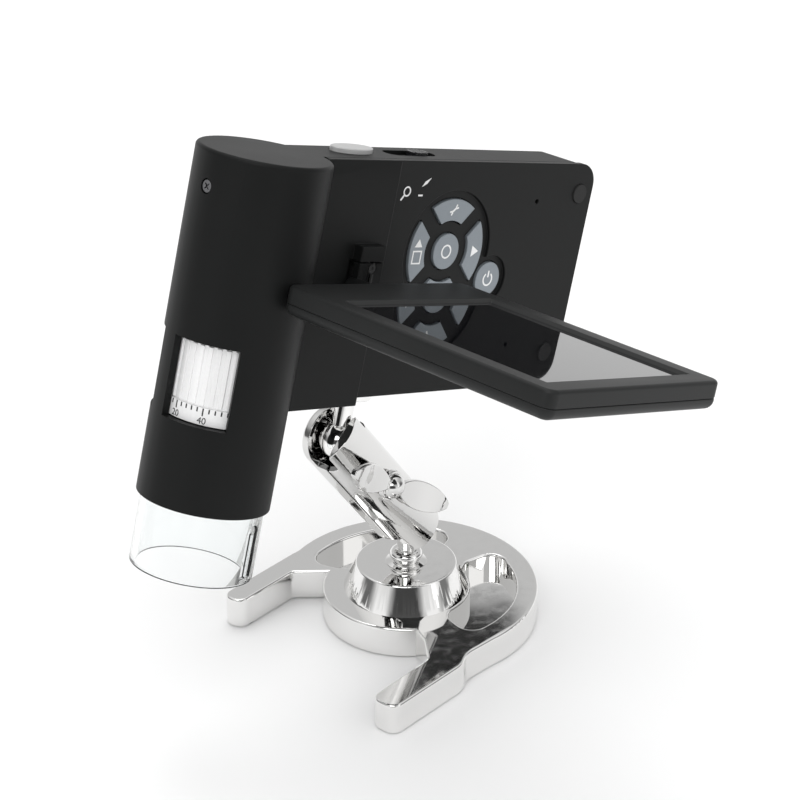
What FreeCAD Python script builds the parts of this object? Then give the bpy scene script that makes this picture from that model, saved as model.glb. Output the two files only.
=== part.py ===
import FreeCAD, Part
import math
import os

from FreeCAD import Placement, Rotation, Vector

# Hand-held digital microscope with a fold-out screen, on a ball-jointed stand.
# Part frame: origin on the floor under the stand's cone, +Z up, +X from the
# open end of the base towards its round end, -Y the side the keypad faces.
# Head frame: origin at the lower rim of the barrel, +Z up the barrel,
# +X along the housing, -Y out of the keypad face. Millimetres throughout.

os.makedirs("parts", exist_ok=True)

# How the head is held
HEAD_TILT = 17.05
HEAD_TURN = -4.3
LOWER_BALL_Z = 31.0
UPPER_BALL_X = -27.5
UPPER_BALL_Z = 66.2
SOCKET_X = 45.7
SOCKET_Y = 0.6
STUD_REACH = 14.0

# Barrel
BARREL_R = 16.75
BARREL_WALL = 2.0
WINDOW_LOW = 21.7
WINDOW_HIGH = 42.0
WINDOW_SPAN = 62.0
WINDOW_ANGLES = (203.0, 119.0)
SCREW_Z = 78.7
SCREW_ANGLE = 177.5
SCREW_HEAD_R = 1.5
SCREW_RING = 0.35
SCREW_SUNK = 0.3

# Housing
HOUSING_RIGHT = 120.5
HOUSING_LOW = 25.3
HOUSING_TOP = 87.5
FACE_Y = -6.65
REAR_Y = 8.55
WALL = 2.0
COVER_THICK = 2.2
CORNER_R = 6.0
REAR_CORNER_R = 8.0
EDGE_R = 1.0
BLEND_R = 3.0

# Raised land that carries the screen hinge
LAND_RIGHT = 40.0
LAND_RISE = 1.5
LAND_DROP = 1.6
LAND_BEVEL = 4.5

# Screen hinge
HINGE_X = 32.7
HINGE_Y = -8.9
HINGE_Z = 55.6
HINGE_HALF = 11.0
HINGE_FRONT_Y = -11.0
EAR_HEIGHT = 4.0
EAR_HALF_WIDTH = 4.3
PIN_R = 1.0
KNUCKLE_R = 2.4
SWIVEL_X = 28.8
SWIVEL_R = 1.6
BUSH_R = 2.8
FIT = 0.05
SIDE_GAP = 0.3

# Screen
SCREEN_NEAR_Y = -17.3
SCREEN_LENGTH = 83.6
SCREEN_WIDTH = 64.0
SCREEN_THICK = 7.3
SCREEN_CORNER_R = 3.0
SCREEN_BACK_R = 2.4
SCREEN_FRONT = 4.3
SCREEN_LEAN = 1.0
GLASS_NEAR = 15.8
GLASS_FAR = 7.3
GLASS_SIDE = 6.5
GLASS_THICK = 1.0
GLASS_SUNK = 0.9
BEZEL_SLOPE = 1.2
LCD_THICK = 1.8
GLASS_LENGTH = SCREEN_LENGTH - GLASS_NEAR - GLASS_FAR
GLASS_WIDTH = SCREEN_WIDTH - 2 * GLASS_SIDE

# Keypad
KEYS_X = 65.2
KEYS_Z = 63.6
RING_IN = 8.2
RING_OUT = 14.0
RING_GAP = 4.8
CENTRE_KEY_R = 4.8
POWER_X = 84.0
POWER_Z = 55.8
POWER_KEY_R = 4.7
POCKET_R = 16.3
POWER_POCKET_R = 6.6
POCKET_DEPTH = 0.9
KEY_PROUD = 0.6
KEY_GAP = 0.2
KEY_TRAVEL = 0.4
SWITCH_R = 1.6

# Other features of the face and the top
MIC_X = 97.6
MIC_Z = 77.1
PAD_X = 115.0
PAD_Z = 79.3
PAD_R = 2.6
SHUTTER_X = 32.2
SHUTTER_Y = 2.6
SHUTTER_A = 6.9
SHUTTER_B = 3.6
SHUTTER_PROUD = 1.2
LEVER_X = 55.6
LEVER_Y = 1.6
LEVER_SLOT = 17.5
LEVER_SLOT_W = 5.6
LEVER_LENGTH = 6.2
LEVER_TRAVEL = 2.0

# Clear nose and light ring
NOSE_R = BARREL_R - 1.25
NOSE_WALL = 1.6
NOSE_LENGTH = 18.4
NOSE_SEAT = 4.0
NOSE_RIM = 2.0
NOSE_CLIP_ANGLE = 286.0
NOSE_CLIP_HALF = 2.3
NOSE_CLIP_DEPTH = 0.7
NOSE_CLIP_TOP = 2.8
LED_COUNT = 8
LED_PCD_R = NOSE_R - 5.3
LED_R = 1.5

# Focus parts
WHEEL_R = BARREL_R - BARREL_WALL - 0.25
TUBE_R = WHEEL_R - 3.0
TUBE_WALL = 1.9
TUBE_BORE = TUBE_R - TUBE_WALL
TUBE_TOP = 62.0
WHEEL_RIBS = 40
WHEEL_LOW = 26.2
SCALE_LOW = 21.9
CARRIAGE_R = TUBE_BORE - 0.08
CARRIAGE_LENGTH = 14.0
LENS_R = CARRIAGE_R - 3.5
LENS_THICK = 3.0
LENS_CURVE = 1.5

# Clamp arm
BOLT_SHARE = 0.53
BALL_R = 5.0
ARM_HALF_WIDTH = 8.0
SHELL_DEPTH = 6.0
SHELL_WALL = 1.5
SHELL_SPLIT = 0.4
BACK_ROUND = 1.3
FRONT_LOW_END = 7.5
FRONT_HIGH_END = 4.5
FRONT_CORNER_R = 4.5
MOUTH_HALF = 3.3
LOWER_MOUTH = (84.0, 276.0)
UPPER_MOUTH = (-112.0, 112.0)
COLLAR_R = 4.6
COLLAR_TOP_Z = 20.6
BOLT_R = 1.6
STEM_R = 2.55
NECK_R = 2.45
NUT_REACH = 23.0
NUT_WIDTH = 8.0
NUT_THICK = 1.7
NUT_TURN = -17.0

# Base
BASE_OUT_R = 36.0
BASE_CENTRE_X = 1.0
BASE_THICK = 8.5
BASE_EDGE_R = 0.7
FOOT_PROUD = 0.5
RING_R = 23.1
LEFT_LEG_END_X = -36.8
RIGHT_LEG_END_X = -47.8
LEG_WIDTH = 7.5
LEG_OUT_Y = 36.0
LEG_TIP_R = 3.0
CONE_TOP_R = 13.8
CONE_LOW_R = 17.3
CONE_TOP_Z = 16.85
KIDNEY_OUT_R = 30.1
KIDNEY_GAP = 0.5
KIDNEY_FLOOR = 3.6
KIDNEY_CORNER_R = 4.5
KIDNEY_START = 14.5
KIDNEY_END = 105.5
SPIGOT_R = 2.4

BODY_LOW = FOOT_PROUD
BASE_TOP = FOOT_PROUD + BASE_THICK


def box(x0, x1, y0, y1, z0, z1):
    return Part.makeBox(x1 - x0, y1 - y0, z1 - z0, Vector(x0, y0, z0))


def rod(radius, start, end):
    run = end - start
    return Part.makeCylinder(radius, run.Length, start, run)


def tube(outer, inner, start, end):
    run = end - start
    wide = Part.makeCylinder(outer, run.Length, start, run)
    return wide.cut(Part.makeCylinder(inner, run.Length, start, run))


def turned(points):
    """Revolve a closed r-z outline about the Z axis."""
    corners = [Vector(r, 0, z) for r, z in points]
    face = Part.Face(Part.makePolygon(corners + corners[:1]))
    return face.revolve(Vector(0, 0, 0), Vector(0, 0, 1), 360)


def rounded_plate(x0, x1, z0, z1, radii, y0, y1):
    """Plate in the XZ plane; radii are for the corners low-left, low-right, top-right, top-left."""
    corners = [(x0, z0, radii[0]), (x1, z0, radii[1]), (x1, z1, radii[2]), (x0, z1, radii[3])]
    inward = [(1, 1), (-1, 1), (-1, -1), (1, -1)]
    plate = box(x0, x1, y0, y1, z0, z1)
    for (x, z, r), (sx, sz) in zip(corners, inward):
        if r > 0:
            cx, cz = x + sx * r, z + sz * r
            square = box(min(x, cx), max(x, cx), y0, y1, min(z, cz), max(z, cz))
            square = square.cut(rod(r, Vector(cx, y0, cz), Vector(cx, y1, cz)))
            plate = plate.cut(square)
    return plate


def slot_xy(x0, x1, y0, y1, z0, z1):
    """Slot with round ends, its length along X."""
    r = (y1 - y0) / 2
    mid = (y0 + y1) / 2
    body = box(x0 + r, x1 - r, y0, y1, z0, z1)
    for x in (x0 + r, x1 - r):
        body = body.fuse(rod(r, Vector(x, mid, z0), Vector(x, mid, z1)))
    return body.removeSplitter()


def wedge(radius, start, end, z0, z1):
    """Pie slice about Z between two angles under 180 degrees apart."""
    reach = radius / math.cos(math.radians((end - start) / 2)) * 1.02
    points = [Vector(0, 0, z0)]
    for angle in (start, (start + end) / 2, end):
        a = math.radians(angle)
        points.append(Vector(reach * math.cos(a), reach * math.sin(a), z0))
    face = Part.Face(Part.makePolygon(points + points[:1]))
    return face.extrude(Vector(0, 0, z1 - z0))


def place_head():
    """Placement that carries the head frame onto the tripod stud."""
    turn = Rotation(Vector(0, 1, 0), HEAD_TILT).multiply(Rotation(Vector(0, 0, 1), HEAD_TURN))
    socket = turn.multVec(Vector(SOCKET_X, SOCKET_Y, HOUSING_LOW - STUD_REACH))
    ball = Vector(UPPER_BALL_X, 0, UPPER_BALL_Z)
    return Placement(ball - socket, turn)


HEAD = place_head()


def save(name, shape, placement=None):
    if placement is not None:
        shape = shape.copy()
        shape.Placement = placement.multiply(shape.Placement)
    assert shape.isValid(), name
    shape.exportStep("parts/" + name + ".step")
    print(name, len(shape.Solids), round(shape.Volume, 1))


def outline(points, z0, z1):
    """Prism on a plan whose corners are given as (x, y, rounding radius), anticlockwise."""
    count = len(points)
    edges, starts, ends = [], [], []
    for index, (x, y, r) in enumerate(points):
        before, here, after = (Vector(*points[k % count][:2], 0) for k in (index - 1, index, index + 1))
        back, on = (before - here).normalize(), (after - here).normalize()
        if r == 0:
            starts.append(here)
            ends.append(here)
            continue
        half = back.getAngle(on) / 2
        reach = r / math.tan(half)
        first, last = here + back * reach, here + on * reach
        centre = here + (back + on).normalize() * (r / math.sin(half))
        middle = centre + (here - centre).normalize() * r
        edges.append(Part.Arc(first, middle, last).toShape())
        starts.append(first)
        ends.append(last)
    for index in range(count):
        edges.append(Part.makeLine(ends[index], starts[(index + 1) % count]))
    face = Part.Face(Part.Wire(Part.__sortEdges__(edges)))
    face.translate(Vector(0, 0, z0))
    return face.extrude(Vector(0, 0, z1 - z0))


# Base casting: a thick plate with two straight legs, a cone seat and two kidney recesses
def left_leg():
    inner = LEG_OUT_Y - 0.5 - LEG_WIDTH + 0.6
    outer = LEG_OUT_Y - 0.5
    low = RING_R * math.sin(math.radians(66))
    high = -RING_R * math.cos(math.radians(66))
    return outline([(LEFT_LEG_END_X, outer, LEG_TIP_R), (LEFT_LEG_END_X, inner, LEG_TIP_R),
                    (high - 6.2, inner, 2.0), (high + 2.4, low - 2.1, 0), (0, low - 2.1, 0), (0, outer - 0.5, 0),
                    (-8.5, outer, 0)], BODY_LOW, BASE_TOP)


def right_leg():
    inner, outer = LEG_OUT_Y - LEG_WIDTH - 0.3, LEG_OUT_Y + 0.4
    return outline([(RIGHT_LEG_END_X, -inner, LEG_TIP_R), (RIGHT_LEG_END_X, -outer, LEG_TIP_R),
                    (-20.5, -outer - 0.5, 8.0), (-15.8, -outer + 1.9, 9.0), (-3.5, -BASE_OUT_R + 0.4, 0),
                    (0, -28.0, 0), (-10.0, -12.0, 0), (-15.6, -16.4, 0), (-18.2, -21.6, 0),
                    (-24.6, -inner, 3.0)], BODY_LOW, BASE_TOP)


def kidney(side):
    """Recess that follows the outer edge and wraps round the cone's foot."""
    centre = Vector(BASE_CENTRE_X, 0, 0)
    wide = Part.makeCylinder(KIDNEY_OUT_R, BASE_THICK, centre + Vector(0, 0, KIDNEY_FLOOR + BODY_LOW))
    wide = wide.cut(Part.makeCylinder(CONE_LOW_R + KIDNEY_GAP, 2 * BASE_THICK, Vector(0, 0, 0)))
    start, end = (-KIDNEY_END, -KIDNEY_START) if side < 0 else (KIDNEY_START, KIDNEY_END)
    body = wide.common(wedge(KIDNEY_OUT_R + BASE_CENTRE_X, start, end, 0, 2 * BASE_THICK))
    edges = [e for e in body.Edges if abs(e.BoundBox.ZLength - BASE_THICK) < 0.01 and abs(e.Length - BASE_THICK) < 0.01]
    return body.makeFillet(KIDNEY_CORNER_R, edges)


def round_top(body, side):
    """Round one border of the upper face: 0 for the outline, -1 or 1 for that side's kidney."""
    top = [f for f in body.Faces if f.BoundBox.ZMin > BASE_TOP - 1e-6]
    wires = sorted(max(top, key=lambda f: f.Area).Wires, key=lambda w: -w.Length)
    picked = wires[0] if side == 0 else [w for w in wires[1:] if w.BoundBox.Center.y * side > 0][0]
    return body.makeFillet(BASE_EDGE_R, picked.Edges)


def base_casting():
    disc = Part.makeCylinder(BASE_OUT_R, BASE_THICK, Vector(BASE_CENTRE_X, 0, BODY_LOW))
    open_end = box(-2 * BASE_OUT_R, -8.0, -2 * BASE_OUT_R, 2 * BASE_OUT_R, 0, 2 * BASE_THICK)
    body = disc.cut(open_end).fuse(Part.makeCylinder(RING_R, BASE_THICK, Vector(0, 0, BODY_LOW)))
    body = body.fuse([left_leg(), right_leg()]).removeSplitter()
    body = round_top(body, 0)
    for side in (-1, 1):
        body = round_top(body.cut(kidney(side)), side)
    body = body.cut(Part.makeCylinder(CONE_LOW_R, SEAT_SUNK, Vector(0, 0, BASE_TOP - SEAT_SUNK)))
    body = body.cut(Part.makeCylinder(BASE_SCREW_R + 0.2, BASE_TOP, Vector(0, 0, 0)))
    body = body.cut(Part.makeCylinder(BASE_HEAD_R + 0.3, HEAD_TOP_Z - BODY_LOW, Vector(0, 0, BODY_LOW)))
    for x, y, r in FEET:
        body = body.cut(Part.makeCylinder(r, FOOT_SUNK, Vector(x, y, BODY_LOW)))
    return body


SEAT_SUNK = 1.5
BASE_SCREW_R = 2.0
BASE_HEAD_R = 4.0
HEAD_TOP_Z = BODY_LOW + 3.6
FOOT_R = 3.0
FOOT_SUNK = 0.8
CENTRE_PAD_R = 6.0
FEET = [(LEFT_LEG_END_X + 4.5, LEG_OUT_Y - 4.0, FOOT_R), (RIGHT_LEG_END_X + 4.5, -LEG_OUT_Y + 4.0, FOOT_R),
        (BASE_OUT_R - 3.5, 8.0, FOOT_R), (BASE_OUT_R - 3.5, -8.0, FOOT_R), (0.0, 0.0, CENTRE_PAD_R)]


def base_feet():
    pads = [Part.makeCylinder(r, FOOT_SUNK + FOOT_PROUD, Vector(x, y, 0)) for x, y, r in FEET]
    return Part.makeCompound(pads)


def base_cone():
    low = BASE_TOP - SEAT_SUNK
    body = turned([(0, low), (CONE_LOW_R, low), (CONE_LOW_R, BASE_TOP), (CONE_TOP_R, CONE_TOP_Z), (0, CONE_TOP_Z)])
    rim = [e for e in body.Edges if e.BoundBox.ZMin > CONE_TOP_Z - 1e-6 and e.BoundBox.XLength > CONE_TOP_R]
    body = body.makeFillet(BASE_EDGE_R, rim)
    body = body.cut(Part.makeCylinder(SPIGOT_R + FIT, 6.0, Vector(0, 0, CONE_TOP_Z - 5.0)))
    return body.cut(Part.makeCylinder(BASE_SCREW_R, CONE_TOP_Z - 5.5 - low, Vector(0, 0, low)))


def base_screw():
    low = HEAD_TOP_Z - 2.4
    shank = Part.makeCylinder(BASE_SCREW_R, CONE_TOP_Z - 6.0 - low, Vector(0, 0, low))
    head = Part.makeCylinder(BASE_HEAD_R, HEAD_TOP_Z - low, Vector(0, 0, low))
    drive = Part.makeCylinder(1.3, 1.4, Vector(0, 0, low))
    return shank.fuse(head).removeSplitter().cut(drive)


# Lower stud: spigot, collar, neck and ball
def lower_stud():
    collar_z = CONE_TOP_Z + FIT
    body = turned([(0, CONE_TOP_Z - 4.5), (SPIGOT_R, CONE_TOP_Z - 4.5), (SPIGOT_R, collar_z),
                   (COLLAR_R + 1.2, collar_z), (COLLAR_R - 1.4, collar_z + 1.0), (NECK_R, collar_z + 1.2),
                   (NECK_R, LOWER_BALL_Z), (0, LOWER_BALL_Z)])
    bead_half = (COLLAR_TOP_Z - collar_z - 0.6) / 2
    ring = Part.makeTorus(COLLAR_R - bead_half, bead_half, Vector(0, 0, COLLAR_TOP_Z - bead_half))
    core = Part.makeCylinder(COLLAR_R - bead_half, 2 * bead_half, Vector(0, 0, COLLAR_TOP_Z - 2 * bead_half))
    body = body.fuse([ring, core])
    return body.fuse(Part.makeSphere(BALL_R, Vector(0, 0, LOWER_BALL_Z)))


# Clamp arm, drawn along its own axis: lower ball at the origin, upper ball at +X
ARM_LENGTH = math.hypot(UPPER_BALL_X, UPPER_BALL_Z - LOWER_BALL_Z)
ARM_ANGLE = math.degrees(math.atan2(UPPER_BALL_Z - LOWER_BALL_Z, -UPPER_BALL_X))
BOLT_AT = ARM_LENGTH * BOLT_SHARE


def place_arm():
    turn = Rotation(Vector(0, 1, 0), ARM_ANGLE - 180.0)
    return Placement(Vector(0, 0, LOWER_BALL_Z), turn)


ARM = place_arm()


def stadium(half, y0, y1):
    body = box(0, ARM_LENGTH, y0, y1, -half, half)
    for x in (0, ARM_LENGTH):
        body = body.fuse(rod(half, Vector(x, y0, 0), Vector(x, y1, 0)))
    return body.removeSplitter()


def mouth(x, half, start, end):
    """Opening for a stud to swing in, between two angles in the arm's own plane."""
    reach = 2 * ARM_HALF_WIDTH
    points = [Vector(x, -half, 0)]
    for step in range(5):
        a = math.radians(start + (end - start) * step / 4)
        points.append(Vector(x + reach * math.cos(a), -half, reach * math.sin(a)))
    face = Part.Face(Part.makePolygon(points + points[:1]))
    return face.extrude(Vector(0, 2 * half, 0))


def seats_and_mouths(body):
    """Ball seats, bolt hole and the openings that the studs swing in."""
    for x in (0, ARM_LENGTH):
        body = body.cut(Part.makeSphere(BALL_R + 0.02, Vector(x, 0, 0)))
    body = body.cut(rod(BOLT_R + 0.1, Vector(BOLT_AT, -20, 0), Vector(BOLT_AT, 20, 0)))
    return body.cut(mouth(0, MOUTH_HALF, *LOWER_MOUTH)).cut(mouth(ARM_LENGTH, MOUTH_HALF, *UPPER_MOUTH))


def bolt_post():
    return rod(4.0, Vector(BOLT_AT, -20, 0), Vector(BOLT_AT, 20, 0))


def back_shell():
    """Straight-walled half with full round ends."""
    body = stadium(ARM_HALF_WIDTH, SHELL_SPLIT, SHELL_DEPTH)
    rim = [e for e in body.Edges if e.BoundBox.YMin > SHELL_DEPTH - 1e-6]
    body = body.makeFillet(BACK_ROUND, rim)
    hollow = stadium(ARM_HALF_WIDTH - SHELL_WALL, SHELL_SPLIT - 1, SHELL_DEPTH - SHELL_WALL)
    return seats_and_mouths(body.cut(hollow.cut(bolt_post())))


def dome(half, depth, x0, x1):
    """Half-elliptic bar along the arm."""
    at = Vector(x0, 0, 0)
    curve = Part.Ellipse(at, max(half, depth), min(half, depth)).toShape()
    face = Part.Face(Part.Wire(curve))
    face.rotate(at, Vector(0, 0, 1), 0 if half > depth else 90)
    face.rotate(at, Vector(0, 1, 0), -90)
    return face.extrude(Vector(x1 - x0, 0, 0))


def front_shell():
    """Half that is domed across its width and cut off bluntly at both ends."""
    x0, x1 = -FRONT_LOW_END, ARM_LENGTH + FRONT_HIGH_END
    r = FRONT_CORNER_R
    plan = rounded_plate(x0, x1, -ARM_HALF_WIDTH, ARM_HALF_WIDTH, (r, r, r, r), -SHELL_DEPTH, -SHELL_SPLIT)
    body = dome(ARM_HALF_WIDTH, SHELL_DEPTH, x0 - 1, x1 + 1).common(plan)
    half, depth = ARM_HALF_WIDTH - SHELL_WALL, SHELL_DEPTH - SHELL_WALL
    room = box(x0 + 4.5, x1 - SHELL_WALL, -SHELL_DEPTH, 1, -half, half)
    hollow = dome(half, depth, x0 - 1, x1 + 1).common(room).cut(bolt_post())
    return seats_and_mouths(body.cut(hollow))


NUT_LOW = -SHELL_DEPTH - 0.1
NUT_HIGH = -SHELL_DEPTH - 3.4


def clamp_bolt():
    shank = rod(BOLT_R, Vector(BOLT_AT, NUT_HIGH, 0), Vector(BOLT_AT, SHELL_DEPTH + 0.1, 0))
    head = rod(3.2, Vector(BOLT_AT, SHELL_DEPTH, 0), Vector(BOLT_AT, SHELL_DEPTH + 1.6, 0))
    return shank.fuse(head)


def wing(side):
    """One ear of the nut: a curved leaf that dips and then lifts away from the shell."""
    low, reach, thick = NUT_LOW - 0.4, NUT_REACH, NUT_THICK
    spine = [(1.0, low - 0.8), (0.28 * reach, low - 0.3), (0.52 * reach, low - 0.9), (0.78 * reach, low - 2.6),
             (reach, low - 3.2)]
    near = Part.BSplineCurve()
    near.interpolate([Vector(BOLT_AT + side * x, y, 0) for x, y in spine])
    far = Part.BSplineCurve()
    far.interpolate([Vector(BOLT_AT + side * x, y - thick, 0) for x, y in spine])
    ends = [Part.makeLine(near.StartPoint, far.StartPoint), Part.makeLine(near.EndPoint, far.EndPoint)]
    face = Part.Face(Part.Wire(Part.__sortEdges__([near.toShape(), far.toShape()] + ends)))
    half = NUT_WIDTH / 2
    face.translate(Vector(0, 0, -half))
    blade = face.extrude(Vector(0, 0, NUT_WIDTH))
    swell = ((reach / 2) ** 2 + half ** 2) / (2 * half)
    middle = BOLT_AT + side * (reach / 2 + 1.0)
    for lift in (-1, 1):
        z = lift * (swell - half)
        blade = blade.common(rod(swell, Vector(middle, low - 12, z), Vector(middle, low + 1, z)))
    return blade


def wing_nut():
    hub = rod(4.2, Vector(BOLT_AT, NUT_LOW, 0), Vector(BOLT_AT, NUT_LOW - 1.6, 0))
    cap = Part.makeSphere(3.4, Vector(BOLT_AT, NUT_LOW - 1.4, 0))
    cap = cap.common(box(BOLT_AT - 5, BOLT_AT + 5, NUT_LOW - 9, NUT_LOW, -5, 5))
    body = hub.fuse([cap, wing(1), wing(-1)]).removeSplitter()
    body = body.cut(rod(BOLT_R + FIT, Vector(BOLT_AT, 1, 0), Vector(BOLT_AT, NUT_HIGH - 0.3, 0)))
    body.rotate(Vector(BOLT_AT, 0, 0), Vector(0, 1, 0), NUT_TURN)
    return body


# Upper stud, in the head frame: ball, stem, flange and quarter-inch thread
FLANGE_R = 6.3
FLANGE_THICK = 1.6
THREAD_R = 3.175
THREAD_LENGTH = 6.0
INSERT_R = 5.0
INSERT_LENGTH = 8.0


def at_socket(z):
    return Vector(SOCKET_X, SOCKET_Y, z)


def upper_stud():
    ball = at_socket(HOUSING_LOW - STUD_REACH)
    top = HOUSING_LOW - FIT
    body = Part.makeSphere(BALL_R, ball)
    body = body.fuse(rod(STEM_R, ball, at_socket(top)))
    body = body.fuse(rod(FLANGE_R, at_socket(top - FLANGE_THICK), at_socket(top)))
    return body.fuse(rod(THREAD_R - 0.1, at_socket(top), at_socket(top + THREAD_LENGTH)))


def tripod_insert():
    return tube(INSERT_R, THREAD_R, at_socket(HOUSING_LOW), at_socket(HOUSING_LOW + INSERT_LENGTH))


# Housing shell: barrel with focus windows, and the box behind the keypad cover
COVER_BACK_Y = FACE_Y + COVER_THICK
BORE_R = BARREL_R - BARREL_WALL


def blend(y_side, z0, z1):
    """Concave strip where a flat side of the box meets the barrel."""
    reach = abs(y_side)
    r = BLEND_R
    cx = math.sqrt((BARREL_R + r) ** 2 - (reach + r) ** 2)
    sign = 1 if y_side > 0 else -1
    touch = BARREL_R / (BARREL_R + r)
    points = [(cx * touch, (reach + r) * touch), (cx, reach), (cx, reach - 1.5), (cx * touch - 2.0, reach - 1.5)]
    corners = [Vector(x, sign * y, z0) for x, y in points]
    web = Part.Face(Part.makePolygon(corners + corners[:1])).extrude(Vector(0, 0, z1 - z0))
    return web.cut(rod(r, Vector(cx, sign * (reach + r), z0), Vector(cx, sign * (reach + r), z1)))


def housing_outer():
    radii = (0, REAR_CORNER_R, REAR_CORNER_R, 0)
    slab = rounded_plate(0, HOUSING_RIGHT, HOUSING_LOW, HOUSING_TOP, radii, COVER_BACK_Y, REAR_Y)
    rear = [e for e in slab.Edges if e.BoundBox.YMin > REAR_Y - 1e-6 and e.BoundBox.XMax > 1.0]
    slab = slab.makeFillet(EDGE_R, rear)
    barrel = Part.makeCylinder(BARREL_R, HOUSING_TOP)
    top = [e for e in barrel.Edges if e.BoundBox.ZMin > HOUSING_TOP - 1e-6]
    barrel = barrel.makeFillet(EDGE_R, top)
    body = barrel.fuse(slab)
    return body.fuse(blend(REAR_Y, HOUSING_LOW, HOUSING_TOP - EDGE_R))


def housing_shell():
    body = housing_outer()
    radii = (0, REAR_CORNER_R - WALL, REAR_CORNER_R - WALL, 0)
    inside = rounded_plate(BORE_R - 4.0, HOUSING_RIGHT - WALL, HOUSING_LOW + WALL, HOUSING_TOP - WALL, radii,
                           COVER_BACK_Y - 1, REAR_Y - WALL)
    body = body.cut(inside)
    body = body.cut(Part.makeCylinder(BORE_R, HOUSING_TOP - WALL - 0.0))
    for centre in WINDOW_ANGLES:
        cut = wedge(BARREL_R + 1, centre - WINDOW_SPAN / 2, centre + WINDOW_SPAN / 2, WINDOW_LOW, WINDOW_HIGH)
        body = body.cut(cut)
    body = body.cut(cover_seat())
    boss = rod(INSERT_R + 1.6, at_socket(HOUSING_LOW + 0.5), at_socket(HOUSING_LOW + INSERT_LENGTH))
    boss = boss.common(box(0, HOUSING_RIGHT, COVER_BACK_Y, REAR_Y - 1, 0, HOUSING_TOP))
    body = body.fuse(boss)
    body = body.cut(rod(INSERT_R, at_socket(HOUSING_LOW - 1), at_socket(HOUSING_LOW + INSERT_LENGTH + 1)))
    body = body.cut(shutter_well()).cut(lever_well())
    body = body.cut(rod(SCREW_HEAD_R + SCREW_RING, radial(SCREW_ANGLE, BARREL_R - 1.0, SCREW_Z),
                        radial(SCREW_ANGLE, BARREL_R + 1.0, SCREW_Z)))
    body = body.cut(port_cut(USB_Z, USB_HALF)).cut(port_cut(CARD_Z, CARD_HALF))
    return body.removeSplitter()


def radial(angle, r, z):
    a = math.radians(angle)
    return Vector(r * math.cos(a), r * math.sin(a), z)


def cover_plan(grow, y0, y1):
    """Plan of the keypad cover: it starts on the barrel and has rounded right corners."""
    radii = (0, CORNER_R + grow, CORNER_R + grow, 0)
    plate = rounded_plate(12.0, HOUSING_RIGHT + grow, HOUSING_LOW - grow, HOUSING_TOP + grow, radii, y0, y1)
    return plate.cut(Part.makeCylinder(BARREL_R + 0.02, 200, Vector(0, 0, -20)))


def cover_seat():
    return cover_plan(5.0, FACE_Y - LAND_RISE - 1, COVER_BACK_Y)


def land():
    """Raised land beside the barrel, bevelled at its top and on its free side."""
    y0 = FACE_Y - LAND_RISE
    body = box(12.0, LAND_RIGHT + LAND_RISE, y0, FACE_Y + 0.5, HOUSING_LOW - LAND_DROP, HOUSING_TOP)
    top = [Vector(12, y0 - 1, HOUSING_TOP - LAND_BEVEL - LAND_BEVEL / LAND_RISE), Vector(12, FACE_Y, HOUSING_TOP),
           Vector(12, y0 - 1, HOUSING_TOP)]
    body = body.cut(Part.Face(Part.makePolygon(top + top[:1])).extrude(Vector(40, 0, 0)))
    side = [Vector(LAND_RIGHT - 1.0, y0 - 1, 0), Vector(LAND_RIGHT + LAND_RISE, FACE_Y, 0),
            Vector(LAND_RIGHT + LAND_RISE + 1, FACE_Y, 0), Vector(LAND_RIGHT + LAND_RISE + 1, y0 - 1, 0)]
    body = body.cut(Part.Face(Part.makePolygon(side + side[:1])).extrude(Vector(0, 0, 100)))
    foot = box(12.0, LAND_RIGHT - 1.0, FACE_Y, COVER_BACK_Y, HOUSING_LOW - LAND_DROP, HOUSING_LOW + 0.5)
    return body.fuse(foot).cut(Part.makeCylinder(BARREL_R + 0.02, 200, Vector(0, 0, -20)))


def key_pocket(depth, grow=0.0):
    y0 = FACE_Y - 0.5
    y1 = FACE_Y + depth
    body = rod(POCKET_R + grow, Vector(KEYS_X, y0, KEYS_Z), Vector(KEYS_X, y1, KEYS_Z))
    return body.fuse(rod(POWER_POCKET_R + grow, Vector(POWER_X, y0, POWER_Z), Vector(POWER_X, y1, POWER_Z)))


KEYS = ("top", "left", "bottom", "right")
KEY_ANGLES = {"top": 90.0, "left": 180.0, "bottom": 270.0, "right": 0.0}


def sector(name, grow, y0, y1):
    """Ring sector whose sides are parallel to the diagonal bars between the keys."""
    ring = tube(RING_OUT + grow, RING_IN - grow, Vector(0, y0, 0), Vector(0, y1, 0))
    half = RING_GAP / 2 - grow
    for diagonal in (45.0, 135.0):
        bar = box(-2 * RING_OUT, 2 * RING_OUT, y0 - 1, y1 + 1, -half, half)
        bar.rotate(Vector(0, 0, 0), Vector(0, 1, 0), diagonal)
        ring = ring.cut(bar)
    angle = math.radians(KEY_ANGLES[name])
    want = Vector(math.cos(angle), 0, math.sin(angle))
    best = max(ring.Solids, key=lambda s: s.CenterOfMass.dot(want))
    best.translate(Vector(KEYS_X, 0, KEYS_Z))
    return best


def key_holes():
    y0, y1 = FACE_Y - 1, COVER_BACK_Y + 1
    holes = [sector(name, KEY_GAP, y0, y1) for name in KEYS]
    holes.append(rod(CENTRE_KEY_R + KEY_GAP, Vector(KEYS_X, y0, KEYS_Z), Vector(KEYS_X, y1, KEYS_Z)))
    holes.append(rod(POWER_KEY_R + KEY_GAP, Vector(POWER_X, y0, POWER_Z), Vector(POWER_X, y1, POWER_Z)))
    return Part.makeCompound(holes)


def hinge_pocket():
    z0, z1 = HINGE_Z - HINGE_HALF + EAR_HEIGHT, HINGE_Z + HINGE_HALF - EAR_HEIGHT
    half = EAR_HALF_WIDTH + 0.8
    return box(HINGE_X - half, HINGE_X + half, FACE_Y - LAND_RISE - 1, COVER_BACK_Y - 1.0, z0, z1)


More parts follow.
